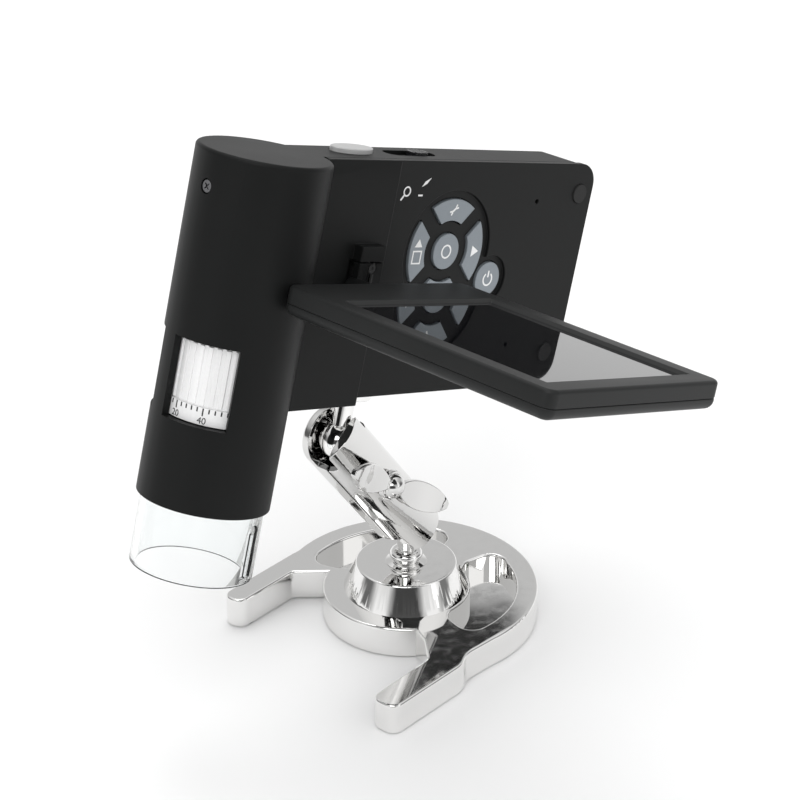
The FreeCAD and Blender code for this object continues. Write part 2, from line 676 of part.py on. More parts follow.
def hinge_ears():
    body = None
    for side in (-1, 1):
        z_out = HINGE_Z + side * HINGE_HALF
        z_in = HINGE_Z + side * (HINGE_HALF - EAR_HEIGHT)
        ear = box(HINGE_X - EAR_HALF_WIDTH, HINGE_X + EAR_HALF_WIDTH, HINGE_FRONT_Y, FACE_Y - LAND_RISE + 0.2,
                  min(z_out, z_in), max(z_out, z_in))
        body = ear if body is None else body.fuse(ear)
    return body


def pin_bore():
    low = HINGE_Z - HINGE_HALF + 1.0
    return rod(PIN_R + 0.0, Vector(HINGE_X, HINGE_Y, low), Vector(HINGE_X, HINGE_Y, HINGE_Z + HINGE_HALF - 1.0))


def front_cover():
    body = cover_plan(0.0, FACE_Y, COVER_BACK_Y)
    body = body.fuse(land())
    body = body.cut(hinge_pocket()).fuse(hinge_ears())
    body = body.cut(pin_bore())
    body = body.cut(key_pocket(POCKET_DEPTH)).cut(key_holes())
    body = body.cut(rod(0.6, Vector(MIC_X, FACE_Y - 1, MIC_Z), Vector(MIC_X, 0, MIC_Z)))
    for z in PAD_HEIGHTS:
        body = body.cut(rod(PAD_R, Vector(PAD_X, FACE_Y - 1, z), Vector(PAD_X, FACE_Y + 0.8, z)))
    body = body.cut(rod(INSERT_R + 1.8, at_socket(0), at_socket(HOUSING_LOW + INSERT_LENGTH + 0.2)))
    return body.removeSplitter()


PAD_HEIGHTS = (PAD_Z, HOUSING_LOW + HOUSING_TOP - PAD_Z)


def stop_pads():
    pads = [rod(PAD_R, Vector(PAD_X, FACE_Y - 0.4, z), Vector(PAD_X, FACE_Y + 0.8, z)) for z in PAD_HEIGHTS]
    return Part.makeCompound(pads)


# Keys, each with a plunger that stops a travel short of its switch
KEY_FACE_Y = FACE_Y + POCKET_DEPTH - KEY_PROUD
BOARD_Y = COVER_BACK_Y + 2.4
BOARD_THICK = 1.0
SWITCH_Y = BOARD_Y - 1.0


def with_stem(cap, x, z):
    stem = rod(SWITCH_R, Vector(x, COVER_BACK_Y, z), Vector(x, SWITCH_Y - KEY_TRAVEL - 0.05, z))
    return cap.fuse(stem)


def flange_back(shape_at):
    """Cap with a wider lip behind the cover, so that it can't fall out."""
    cap = shape_at(0.0, KEY_FACE_Y, COVER_BACK_Y + 0.5)
    return cap.fuse(shape_at(0.6, COVER_BACK_Y + 0.05, COVER_BACK_Y + 0.5))


def sector_key(name):
    cap = flange_back(lambda grow, y0, y1: sector(name, grow, y0, y1))
    a = math.radians(KEY_ANGLES[name])
    mid = (RING_IN + RING_OUT) / 2
    return with_stem(cap, KEYS_X + mid * math.cos(a), KEYS_Z + mid * math.sin(a))


def round_key(x, z, radius):
    cap = flange_back(lambda grow, y0, y1: rod(radius + grow, Vector(x, y0, z), Vector(x, y1, z)))
    return with_stem(cap, x, z)


def key_switches():
    places = [(KEYS_X, KEYS_Z), (POWER_X, POWER_Z)]
    mid = (RING_IN + RING_OUT) / 2
    for name in KEYS:
        a = math.radians(KEY_ANGLES[name])
        places.append((KEYS_X + mid * math.cos(a), KEYS_Z + mid * math.sin(a)))
    domes = [rod(2.2, Vector(x, SWITCH_Y, z), Vector(x, BOARD_Y, z)) for x, z in places]
    return Part.makeCompound(domes)


def main_board():
    board = box(20.0, HOUSING_RIGHT - WALL - 1.0, BOARD_Y, BOARD_Y + BOARD_THICK, HOUSING_LOW + WALL + 9.0,
                HOUSING_TOP - WALL - 6.0)
    return board


BATTERY_LENGTH = 52.0
BATTERY_HEIGHT = 34.0


def battery():
    y0 = BOARD_Y + BOARD_THICK + 0.4
    x1, z0 = HOUSING_RIGHT - WALL - 14.5, HOUSING_LOW + WALL + 10.0
    return box(x1 - BATTERY_LENGTH, x1, y0, REAR_Y - WALL - 0.4, z0, z0 + BATTERY_HEIGHT)


USB_DEPTH = 6.0
CARD_DEPTH = 12.0
USB_Z = 70.0
USB_HALF = 4.2
CARD_Z = 50.0
CARD_HALF = 6.6
PORT_Y = 2.6
PORT_HALF_Y = 1.6


def port_cut(z, half):
    grow = 0.3
    return box(HOUSING_RIGHT - WALL - 1, HOUSING_RIGHT + 1, PORT_Y - PORT_HALF_Y - grow, PORT_Y + PORT_HALF_Y + grow,
               z - half - grow, z + half + grow)


def port_shell(z, half, depth):
    x1 = HOUSING_RIGHT - 0.3
    body = box(x1 - depth, x1, PORT_Y - PORT_HALF_Y, PORT_Y + PORT_HALF_Y, z - half, z + half)
    return body.cut(box(x1 - depth + 1.5, x1 + 1, PORT_Y - PORT_HALF_Y + 0.4, PORT_Y + PORT_HALF_Y - 0.4,
                        z - half + 0.4, z + half - 0.4))


def microphone():
    return rod(2.0, Vector(MIC_X, COVER_BACK_Y + 0.1, MIC_Z), Vector(MIC_X, BOARD_Y, MIC_Z))


# Shutter button and zoom lever on the top face
def oval(a, b, z0, z1):
    shape = Part.Face(Part.Wire(Part.Ellipse(Vector(0, 0, 0), a, b).toShape())).extrude(Vector(0, 0, z1 - z0))
    shape.translate(Vector(SHUTTER_X, SHUTTER_Y, z0))
    return shape


def shutter_well():
    return oval(SHUTTER_A + KEY_GAP, SHUTTER_B + KEY_GAP, HOUSING_TOP - WALL - 1, HOUSING_TOP + 1)


SHUTTER_TRAVEL = 0.8


def shutter_button():
    low = HOUSING_TOP - WALL
    body = oval(SHUTTER_A, SHUTTER_B, low - 0.6, HOUSING_TOP + SHUTTER_PROUD)
    body = body.fuse(oval(SHUTTER_A + 0.9, SHUTTER_B + 0.3, low - 0.8, low - 0.05))
    return body


def lever_well():
    x0, x1 = LEVER_X - LEVER_SLOT / 2 - 3.0, LEVER_X + LEVER_SLOT / 2 - 3.0
    y0, y1 = LEVER_Y - LEVER_SLOT_W / 2, LEVER_Y + LEVER_SLOT_W / 2
    dish = slot_xy(x0, x1, y0, y1, HOUSING_TOP - 1.0, HOUSING_TOP + 1)
    run = LEVER_TRAVEL + 1.2 + SIDE_GAP
    return dish.fuse(box(LEVER_X - run, LEVER_X + run, LEVER_Y - 1.2, LEVER_Y + 1.2, HOUSING_TOP - WALL - 1, HOUSING_TOP))


def zoom_lever():
    half = LEVER_LENGTH / 2
    top = HOUSING_TOP + 0.6
    knob = slot_xy(LEVER_X - half, LEVER_X + half, LEVER_Y - 2.2, LEVER_Y + 2.2, HOUSING_TOP - 0.95, top)
    for step in range(5):
        x = LEVER_X - 2.0 + step
        knob = knob.cut(box(x - 0.2, x + 0.2, LEVER_Y - 3, LEVER_Y + 3, top - 0.4, top + 1))
    tongue = box(LEVER_X - 1.2, LEVER_X + 1.2, LEVER_Y - 1.0, LEVER_Y + 1.0, HOUSING_TOP - WALL - 1.0, HOUSING_TOP)
    return knob.fuse(tongue)


# Optics and light inside the barrel
def inner_tube():
    low = NOSE_SEAT
    body = tube(TUBE_R, TUBE_BORE, Vector(0, 0, low), Vector(0, 0, TUBE_TOP))
    body = body.fuse(tube(BORE_R, TUBE_BORE, Vector(0, 0, low), Vector(0, 0, low + 2.0)))
    body = body.fuse(tube(BORE_R, TUBE_BORE, Vector(0, 0, WINDOW_HIGH + 3), Vector(0, 0, WINDOW_HIGH + 5)))
    key_way = box(-1.2, 1.2, 0, TUBE_R + 1, WINDOW_LOW - 2, WINDOW_HIGH - 2)
    return body.cut(key_way).removeSplitter()


def focus_wheel():
    high = WINDOW_HIGH - 0.4
    body = tube(WHEEL_R - 0.4, TUBE_R + FIT, Vector(0, 0, WHEEL_LOW), Vector(0, 0, high))
    ribs = []
    for index in range(WHEEL_RIBS):
        angle = 360.0 * index / WHEEL_RIBS
        rib = box(WHEEL_R - 0.8, WHEEL_R, -0.62, 0.62, WHEEL_LOW + 0.4, high - 0.4)
        rib.rotate(Vector(0, 0, 0), Vector(0, 0, 1), angle)
        ribs.append(rib)
    return body.fuse(ribs).removeSplitter()


def scale_ring():
    return tube(WHEEL_R, TUBE_R + FIT, Vector(0, 0, SCALE_LOW), Vector(0, 0, WHEEL_LOW))


CARRIAGE_LOW = 18.0


def lens_carriage():
    body = tube(CARRIAGE_R, LENS_R, Vector(0, 0, CARRIAGE_LOW), Vector(0, 0, CARRIAGE_LOW + CARRIAGE_LENGTH))
    pin = box(-1.0, 1.0, CARRIAGE_R - 1.0, TUBE_R - 0.05, CARRIAGE_LOW + 8.0, CARRIAGE_LOW + 10.0)
    return body.fuse(pin)


def lenses():
    glass = []
    ball = LENS_R * LENS_CURVE
    for z in (CARRIAGE_LOW + 2.0, CARRIAGE_LOW + 9.0):
        disc = Part.makeCylinder(LENS_R, LENS_THICK, Vector(0, 0, z))
        dome_low = z + LENS_THICK - ball
        glass.append(disc.common(Part.makeSphere(ball, Vector(0, 0, dome_low))))
    return Part.makeCompound(glass)


def sensor_board():
    half = TUBE_R / 3
    plate = Part.makeCylinder(TUBE_R, 1.2, Vector(0, 0, TUBE_TOP))
    chip = box(-half, half, -half, half, TUBE_TOP - 1.4, TUBE_TOP)
    return plate.fuse(chip)


def led_ring():
    return tube(NOSE_R - NOSE_WALL - 0.3, LED_PCD_R - 3.2, Vector(0, 0, NOSE_SEAT - 1.4), Vector(0, 0, NOSE_SEAT))


def leds():
    group = []
    for index in range(LED_COUNT):
        a = 2 * math.pi * index / LED_COUNT
        x, y = LED_PCD_R * math.cos(a), LED_PCD_R * math.sin(a)
        body = Part.makeCylinder(LED_R, 1.9, Vector(x, y, 0.7))
        group.append(body.fuse(Part.makeSphere(LED_R, Vector(x, y, 0.7))))
    return Part.makeCompound(group)


def clip_pocket():
    """Shallow window with a round top in the nose's outer wall, and the thin rib left standing in it."""
    low, high = -NOSE_LENGTH + NOSE_RIM, -NOSE_CLIP_TOP - NOSE_CLIP_HALF
    r0, r1 = NOSE_R - NOSE_CLIP_DEPTH, NOSE_R + 1.0
    cut = box(r0, r1, -NOSE_CLIP_HALF, NOSE_CLIP_HALF, low, high)
    cut = cut.fuse(rod(NOSE_CLIP_HALF, Vector(r0, 0, high), Vector(r1, 0, high)))
    cut = cut.cut(box(r0 - 1, NOSE_R, -0.3, 0.3, low - 1, high))
    cut.rotate(Vector(0, 0, 0), Vector(0, 0, 1), NOSE_CLIP_ANGLE)
    return cut


def clear_nose():
    low = -NOSE_LENGTH
    body = tube(NOSE_R, NOSE_R - NOSE_WALL, Vector(0, 0, low), Vector(0, 0, 0))
    seat = tube(BORE_R, NOSE_R - NOSE_WALL, Vector(0, 0, 0), Vector(0, 0, NOSE_SEAT))
    return body.fuse(seat).removeSplitter().cut(clip_pocket())


def barrel_screw():
    """Sunk head with a cross recess."""
    outer = BARREL_R - SCREW_SUNK
    head = rod(SCREW_HEAD_R, radial(SCREW_ANGLE, BARREL_R - 1.0, SCREW_Z), radial(SCREW_ANGLE, outer, SCREW_Z))
    for turn in (45, 135):
        slot = box(outer - 0.5, outer + 1, -0.65 * SCREW_HEAD_R, 0.65 * SCREW_HEAD_R, SCREW_Z - 0.2, SCREW_Z + 0.2)
        slot.rotate(Vector(0, 0, SCREW_Z), Vector(1, 0, 0), turn)
        slot.rotate(Vector(0, 0, 0), Vector(0, 0, 1), SCREW_ANGLE)
        head = head.cut(slot)
    return head


# Screen hinge: pin, knuckle, its screw and the swivel shaft
def hinge_pin():
    low = HINGE_Z - HINGE_HALF + 1.0
    return rod(PIN_R, Vector(HINGE_X, HINGE_Y, low), Vector(HINGE_X, HINGE_Y, HINGE_Z + HINGE_HALF - 1.0))


BUSH_END_Y = SCREEN_NEAR_Y + 0.4


def hinge_knuckle():
    z0 = HINGE_Z - HINGE_HALF + EAR_HEIGHT + SIDE_GAP
    z1 = HINGE_Z + HINGE_HALF - EAR_HEIGHT - SIDE_GAP
    half = EAR_HALF_WIDTH
    body = rod(KNUCKLE_R, Vector(HINGE_X, HINGE_Y, z0), Vector(HINGE_X, HINGE_Y, z1))
    body = body.fuse(box(HINGE_X - half, HINGE_X + half, HINGE_FRONT_Y, HINGE_Y, z0, z1))
    body = body.fuse(rod(BUSH_R, Vector(SWIVEL_X, HINGE_Y, HINGE_Z), Vector(SWIVEL_X, BUSH_END_Y, HINGE_Z)))
    body = body.cut(rod(PIN_R + FIT, Vector(HINGE_X, HINGE_Y, z0 - 1), Vector(HINGE_X, HINGE_Y, z1 + 1)))
    body = body.cut(rod(SWIVEL_R + FIT, Vector(SWIVEL_X, BUSH_END_Y - 1, HINGE_Z), Vector(SWIVEL_X, HINGE_Y - 0.8, HINGE_Z)))
    x, z = HINGE_X + 0.5, HINGE_Z + 5.3
    return body.cut(rod(1.35, Vector(x, HINGE_FRONT_Y - 1, z), Vector(x, HINGE_FRONT_Y + 0.5, z))).removeSplitter()


def hinge_screw():
    x, z = HINGE_X + 0.5, HINGE_Z + 5.3
    head = rod(1.3, Vector(x, HINGE_FRONT_Y + 0.1, z), Vector(x, HINGE_FRONT_Y + 0.5, z))
    return head.cut(rod(0.5, Vector(x, HINGE_FRONT_Y, z), Vector(x, HINGE_FRONT_Y + 0.35, z)))


# Screen, drawn level and then leaned about its swivel axis
SCREEN_TOP_Z = HINGE_Z + SCREEN_THICK / 2
SPLIT_Z = SCREEN_TOP_Z - SCREEN_FRONT


def screen_plan(shrink, z0, z1):
    x0, x1 = SWIVEL_X - SCREEN_WIDTH / 2 + shrink, SWIVEL_X + SCREEN_WIDTH / 2 - shrink
    y0, y1 = SCREEN_NEAR_Y - SCREEN_LENGTH + shrink, SCREEN_NEAR_Y - shrink
    r = max(SCREEN_CORNER_R - shrink, 0.5)
    body = box(x0, x1, y0, y1, z0, z1)
    return body.makeFillet(r, [e for e in body.Edges if abs(e.BoundBox.ZLength - (z1 - z0)) < 1e-6])


def glass_window(shrink, z0, z1):
    y1 = SCREEN_NEAR_Y - GLASS_NEAR - shrink
    half = GLASS_WIDTH / 2 - shrink
    return box(SWIVEL_X - half, SWIVEL_X + half, y1 - GLASS_LENGTH + 2 * shrink, y1, z0, z1)


def bezel_cut():
    """Sloping sides down to the glass."""
    def ring(grow, z):
        y1 = SCREEN_NEAR_Y - GLASS_NEAR + grow
        half = GLASS_WIDTH / 2 + grow
        x0, x1, y0 = SWIVEL_X - half, SWIVEL_X + half, y1 - GLASS_LENGTH - 2 * grow
        corners = [Vector(x0, y0, z), Vector(x1, y0, z), Vector(x1, y1, z), Vector(x0, y1, z)]
        return Part.makePolygon(corners + corners[:1])
    low = SCREEN_TOP_Z - GLASS_SUNK
    return Part.makeLoft([ring(0.0, low), ring(BEZEL_SLOPE, SCREEN_TOP_Z + 0.01)], True)


def screen_frame():
    body = screen_plan(0.0, SPLIT_Z, SCREEN_TOP_Z)
    rim = [e for e in body.Edges if e.BoundBox.ZMin > SCREEN_TOP_Z - 1e-6]
    body = body.makeFillet(EDGE_R, rim)
    low = SCREEN_TOP_Z - GLASS_SUNK
    body = body.cut(bezel_cut()).cut(glass_window(0.0, low - GLASS_THICK, low))
    body = body.cut(glass_window(1.5, SPLIT_Z - 1, low))
    body = body.cut(swivel_hole())
    return body


def swivel_hole():
    end = SCREEN_NEAR_Y - SWIVEL_GRIP
    return rod(SWIVEL_R, Vector(SWIVEL_X, SCREEN_NEAR_Y + 1, HINGE_Z), Vector(SWIVEL_X, end, HINGE_Z))


SWIVEL_GRIP = 9.0


def swivel_shaft():
    end = SCREEN_NEAR_Y - SWIVEL_GRIP
    return rod(SWIVEL_R, Vector(SWIVEL_X, HINGE_Y - 0.9, HINGE_Z), Vector(SWIVEL_X, end, HINGE_Z))


def screen_back():
    low = SCREEN_TOP_Z - SCREEN_THICK
    body = screen_plan(0.0, low, SPLIT_Z)
    rim = [e for e in body.Edges if e.BoundBox.ZMax < low + 1e-6]
    body = body.makeFillet(SCREEN_BACK_R, rim)
    return body.cut(glass_window(1.5, low + 1.2, SPLIT_Z + 1)).cut(swivel_hole()).cut(screen_screws())


def cover_glass():
    top = SCREEN_TOP_Z - GLASS_SUNK
    return glass_window(0.05, top - GLASS_THICK, top)


def lcd_panel():
    top = SCREEN_TOP_Z - GLASS_SUNK - GLASS_THICK
    return glass_window(1.6, top - LCD_THICK, top - 0.05)


def screen_screws():
    low = SCREEN_TOP_Z - SCREEN_THICK
    group = []
    for x in (SWIVEL_X - SCREEN_WIDTH / 2 + 4.0, SWIVEL_X + SCREEN_WIDTH / 2 - 4.0):
        for y in (SCREEN_NEAR_Y - 5.0, SCREEN_NEAR_Y - SCREEN_LENGTH + 5.0):
            group.append(Part.makeCylinder(1.2, 1.0, Vector(x, y, low)))
    return Part.makeCompound(group)


def place_screen():
    lean = Rotation(Vector(0, -1, 0), -SCREEN_LEAN)
    axis = Vector(SWIVEL_X, 0, HINGE_Z)
    return HEAD.multiply(Placement(axis - lean.multVec(axis), lean))


SCREEN = place_screen()


def main():
    save("base_casting", base_casting())
    save("base_cone", base_cone())
    save("base_feet", base_feet())
    save("base_screw", base_screw())
    save("lower_stud", lower_stud())
    save("clamp_front_shell", front_shell(), ARM)
    save("clamp_back_shell", back_shell(), ARM)
    save("clamp_bolt", clamp_bolt(), ARM)
    save("wing_nut", wing_nut(), ARM)
    save("upper_stud", upper_stud(), HEAD)
    save("tripod_insert", tripod_insert(), HEAD)
    save("housing_shell", housing_shell(), HEAD)
    save("front_cover", front_cover(), HEAD)
    save("stop_pads", stop_pads(), HEAD)
    for name in KEYS:
        save("key_" + name, sector_key(name), HEAD)
    save("key_centre", round_key(KEYS_X, KEYS_Z, CENTRE_KEY_R), HEAD)
    save("key_power", round_key(POWER_X, POWER_Z, POWER_KEY_R), HEAD)
    save("key_switches", key_switches(), HEAD)
    save("main_board", main_board(), HEAD)
    save("battery", battery(), HEAD)
    save("usb_socket", port_shell(USB_Z, USB_HALF, USB_DEPTH), HEAD)
    save("card_socket", port_shell(CARD_Z, CARD_HALF, CARD_DEPTH), HEAD)
    save("microphone", microphone(), HEAD)
    save("shutter_button", shutter_button(), HEAD)
    save("zoom_lever", zoom_lever(), HEAD)
    save("inner_tube", inner_tube(), HEAD)
    save("focus_wheel", focus_wheel(), HEAD)
    save("scale_ring", scale_ring(), HEAD)
    save("lens_carriage", lens_carriage(), HEAD)
    save("lenses", lenses(), HEAD)
    save("sensor_board", sensor_board(), HEAD)
    save("led_ring", led_ring(), HEAD)
    save("leds", leds(), HEAD)
    save("clear_nose", clear_nose(), HEAD)
    save("barrel_screw", barrel_screw(), HEAD)
    save("hinge_pin", hinge_pin(), HEAD)
    save("hinge_knuckle", hinge_knuckle(), HEAD)
    save("hinge_screw", hinge_screw(), HEAD)
    save("swivel_shaft", swivel_shaft(), SCREEN)
    save("screen_frame", screen_frame(), SCREEN)
    save("screen_back", screen_back(), SCREEN)
    save("cover_glass", cover_glass(), SCREEN)
    save("lcd_panel", lcd_panel(), SCREEN)
    save("screen_screws", screen_screws(), SCREEN)


main()
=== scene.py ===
"""Hand-held digital microscope on its ball-jointed stand, dressed for the render.

Sizes are in millimetres until a mesh is placed; Blender's own unit is the metre.
"""
import math

import bmesh
import bpy
from mathutils import Matrix, Vector


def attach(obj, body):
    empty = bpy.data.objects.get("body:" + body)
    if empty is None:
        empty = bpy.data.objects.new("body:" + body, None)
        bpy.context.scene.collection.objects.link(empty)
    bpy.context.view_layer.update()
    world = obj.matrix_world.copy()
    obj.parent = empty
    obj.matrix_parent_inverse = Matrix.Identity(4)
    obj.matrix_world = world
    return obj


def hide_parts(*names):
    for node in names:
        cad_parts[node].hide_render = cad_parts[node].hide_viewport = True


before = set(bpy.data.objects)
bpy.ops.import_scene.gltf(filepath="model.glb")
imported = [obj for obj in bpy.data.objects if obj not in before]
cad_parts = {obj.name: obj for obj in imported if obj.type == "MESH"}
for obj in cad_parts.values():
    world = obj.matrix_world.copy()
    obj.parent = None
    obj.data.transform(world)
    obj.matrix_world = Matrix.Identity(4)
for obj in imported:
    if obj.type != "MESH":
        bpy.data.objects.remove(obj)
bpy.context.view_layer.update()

MM = 0.001

# How the head sits on the stand, as in the construction
HEAD_TILT = 17.05
HEAD_TURN = -4.3
UPPER_BALL = Vector((-27.5, 0, 66.2))
SOCKET = Vector((45.7, 0.6, 11.3))

# Photograph's viewpoint
CAMERA_PLACE = Vector((-446.92, -376.81, 374.79))
CAMERA_TURN = 49.70
CAMERA_DROP = 27.78
LENS = 111.36
SENSOR = 36.0

# Sizes that several pieces share
FACE_Y = -6.65
KEY_FACE_Y = -6.35
KEYS = Vector((65.2, 0, 63.6))
POWER = Vector((84.0, 0, 55.8))
KEY_MID_R = 11.1
SCALE_R = 14.5
SCALE_LOW = 21.9
SCALE_TOP = 26.1


def head_matrix():
    """Head's local frame, with the barrel upright in it, to the row frame in millimetres."""
    turn = Matrix.Rotation(math.radians(HEAD_TILT), 4, "Y") @ Matrix.Rotation(math.radians(HEAD_TURN), 4, "Z")
    return Matrix.Translation(UPPER_BALL - turn @ SOCKET) @ turn


HEAD = head_matrix()


class Signal:
    """A shader value that takes part in sums."""

    def __init__(self, sheet, socket):
        self.sheet = sheet
        self.socket = socket

    def math(self, operation, *others):
        node = self.sheet.add("ShaderNodeMath", {"operation": operation})
        for socket, value in zip(node.inputs, (self,) + others):
            self.sheet.feed(socket, value)
        return Signal(self.sheet, node.outputs[0])

    def __add__(self, other):
        return self.math("ADD", other)

    __radd__ = __add__

    def __rsub__(self, other):
        return (self * -1.0).math("ADD", other)

    def __mul__(self, other):
        return self.math("MULTIPLY", other)

    __rmul__ = __mul__

    def over(self, edge):
        return self.math("GREATER_THAN", edge)

    def part(self, low, high):
        """0 below low, 1 above high."""
        node = self.sheet.add("ShaderNodeMapRange", {"clamp": True}, {0: self, 1: low, 2: high})
        return Signal(self.sheet, node.outputs[0])


class Finish:
    """One material and its node sheet."""

    def __init__(self, name, **sockets):
        self.material = bpy.data.materials.new(name)
        self.material.use_nodes = True
        self.tree = self.material.node_tree
        self.shader = self.tree.nodes["Principled BSDF"]
        self.set(**sockets)

    def feed(self, socket, value):
        if isinstance(value, Signal):
            value = value.socket
        if isinstance(value, bpy.types.NodeSocket):
            self.tree.links.new(value, socket)
        else:
            socket.default_value = value

    def add(self, kind, settings=None, sockets=None):
        node = self.tree.nodes.new(kind)
        for key, value in (settings or {}).items():
            if key == "stops":
                ramp = node.color_ramp
                while len(ramp.elements) < len(value):
                    ramp.elements.new(0.5)
                for element, (place, shade) in zip(ramp.elements, value):
                    element.position = place
                    element.color = shade
            else:
                setattr(node, key, value)
        for key, value in (sockets or {}).items():
            self.feed(node.inputs[key], value)
        return node

    def set(self, **sockets):
        for key, value in sockets.items():
            self.feed(self.shader.inputs[key.replace("_", " ")], value)
        return self

    def place(self):
        return self.add("ShaderNodeTexCoord").outputs["Object"]

    def noise(self, per_mm, detail=2.0, stretch=None):
        where = self.place()
        if stretch:
            node = self.add("ShaderNodeVectorMath", {"operation": "MULTIPLY"}, {0: where, 1: stretch})
            where = node.outputs[0]
        sockets = {"Vector": where, "Scale": per_mm / MM, "Detail": detail}
        node = self.add("ShaderNodeTexNoise", None, sockets)
        return Signal(self, node.outputs[0])

    def mix(self, factor, first, second):
        node = self.add("ShaderNodeMix", {"data_type": "RGBA"}, {0: factor, 6: first, 7: second})
        return node.outputs[2]

    def toward(self, way, aim):
        """How far a direction leans towards another one."""
        node = self.add("ShaderNodeVectorMath", {"operation": "DOT_PRODUCT"}, {0: way, 1: aim})
        return Signal(self, node.outputs["Value"])

    def bump(self, height, strength, depth_mm):
        sockets = {"Height": height, "Strength": strength, "Distance": depth_mm * MM}
        node = self.add("ShaderNodeBump", None, sockets)
        return self.set(Normal=node.outputs[0])


def grey(level, alpha=1.0):
    return (level, level, level, alpha)


def soft_black(name="soft_black_paint", level=0.005, shine=0.15):
    """Rubber-like paint of the housing: nearly black, with a fine even tooth."""
    finish = Finish(name, Specular_IOR_Level=shine)
    grain = finish.noise(9.0, 3.0)
    cloud = finish.noise(0.05, 2.0)
    light = level + 0.003
    finish.set(Base_Color=finish.mix(cloud, (level * 0.92, level, level, 1), (light * 0.95, light, light, 1)))
    finish.set(Roughness=0.40 + 0.08 * cloud + 0.06 * grain)
    return finish.bump(grain, 0.25, 0.02).material


def gloss_black():
    finish = Finish("gloss_black", Base_Color=(0.008, 0.008, 0.009, 1))
    haze = finish.noise(0.12, 2.0)
    return finish.set(Roughness=0.12 + 0.08 * haze).material


def chrome(name, level=0.86, rough=0.045):
    """Polished plate: a soft waviness under the mirror and faint hazing."""
    finish = Finish(name, Base_Color=(level, level * 0.995, level * 0.985, 1), Metallic=1.0)
    wave = finish.noise(0.06, 1.0)
    haze = finish.noise(0.35, 3.0)
    finish.set(Roughness=rough + 0.05 * haze.part(0.45, 0.8))
    return finish.bump(wave, 0.10, 0.25).material


def key_grey(name="key_grey", low=(0.185, 0.21, 0.232, 1), high=(0.24, 0.265, 0.288, 1)):
    finish = Finish(name, Specular_IOR_Level=0.5)
    fleck = finish.noise(6.0, 2.0)
    finish.set(Base_Color=finish.mix(fleck, low, high), Metallic=0.35)
    return finish.set(Roughness=0.34 + 0.08 * fleck).bump(fleck, 0.1, 0.01).material


def print_ink(name, low, high, rough=0.5, per_mm=3.0, shine=0.4):
    """Printed or moulded-in tone, faintly uneven."""
    finish = Finish(name, Specular_IOR_Level=shine)
    fleck = finish.noise(per_mm, 2.0)
    finish.set(Base_Color=finish.mix(fleck, grey(low), grey(high)))
    return finish.set(Roughness=rough + 0.1 * fleck).material


def clear_moulding():
    """Water-clear acrylic with slight flow lines."""
    finish = Finish("clear_moulding", Base_Color=(0.97, 0.985, 0.985, 1), Transmission_Weight=1.0, IOR=1.47)
    flow = finish.noise(0.15, 2.0, stretch=(1.0, 1.0, 0.2))
    return finish.set(Roughness=0.015 + 0.03 * flow.part(0.5, 0.9)).bump(flow, 0.06, 0.1).material


def silver_wheel():
    finish = Finish("silver_wheel", Metallic=0.45)
    fleck = finish.noise(5.0, 2.0)
    finish.set(Base_Color=finish.mix(fleck, grey(0.86), grey(0.94)), Roughness=0.30 + 0.10 * fleck)
    return finish.bump(fleck, 0.05, 0.01).material


def lens_glass():
    finish = Finish("lens_glass", Base_Color=(0.9, 0.95, 1.0, 1), Transmission_Weight=1.0, IOR=1.52)
    return finish.set(Roughness=0.02).material


def panel_black():
    finish = Finish("panel_black", Base_Color=(0.004, 0.004, 0.005, 1), Coat_Weight=1.0, Coat_Roughness=0.01)
    haze = finish.noise(0.03, 2.0)
    return finish.set(Roughness=0.025 + 0.02 * haze.part(0.5, 0.9)).material


def cover_lens():
    """Clear screen cover over the dark panel."""
    finish = Finish("cover_lens", Base_Color=(0.003, 0.003, 0.004, 1), IOR=1.52, Coat_Weight=0.6)
    haze = finish.noise(0.02, 2.0)
    return finish.set(Roughness=0.015 + 0.015 * haze.part(0.5, 0.9)).material


def rubber():
    finish = Finish("rubber", Specular_IOR_Level=0.3)
    grain = finish.noise(4.0, 3.0)
    finish.set(Base_Color=finish.mix(grain, grey(0.012), grey(0.03)), Roughness=0.7 + 0.15 * grain)
    return finish.bump(grain, 0.3, 0.05).material


def metal(name, colour, rough):
    finish = Finish(name, Metallic=1.0)
    turned = finish.noise(0.8, 2.0, stretch=(1.0, 1.0, 6.0))
    dark = tuple(c * 0.8 for c in colour[:3]) + (1,)
    finish.set(Base_Color=finish.mix(turned, dark, colour), Roughness=rough + 0.12 * turned)
    return finish.bump(turned, 0.08, 0.03).material


def plain(name, first, second, rough, per_mm=0.8):
    finish = Finish(name)
    patch = finish.noise(per_mm, 3.0)
    finish.set(Base_Color=finish.mix(patch, first, second), Roughness=rough + 0.1 * patch)
    return finish.bump(patch, 0.1, 0.05).material


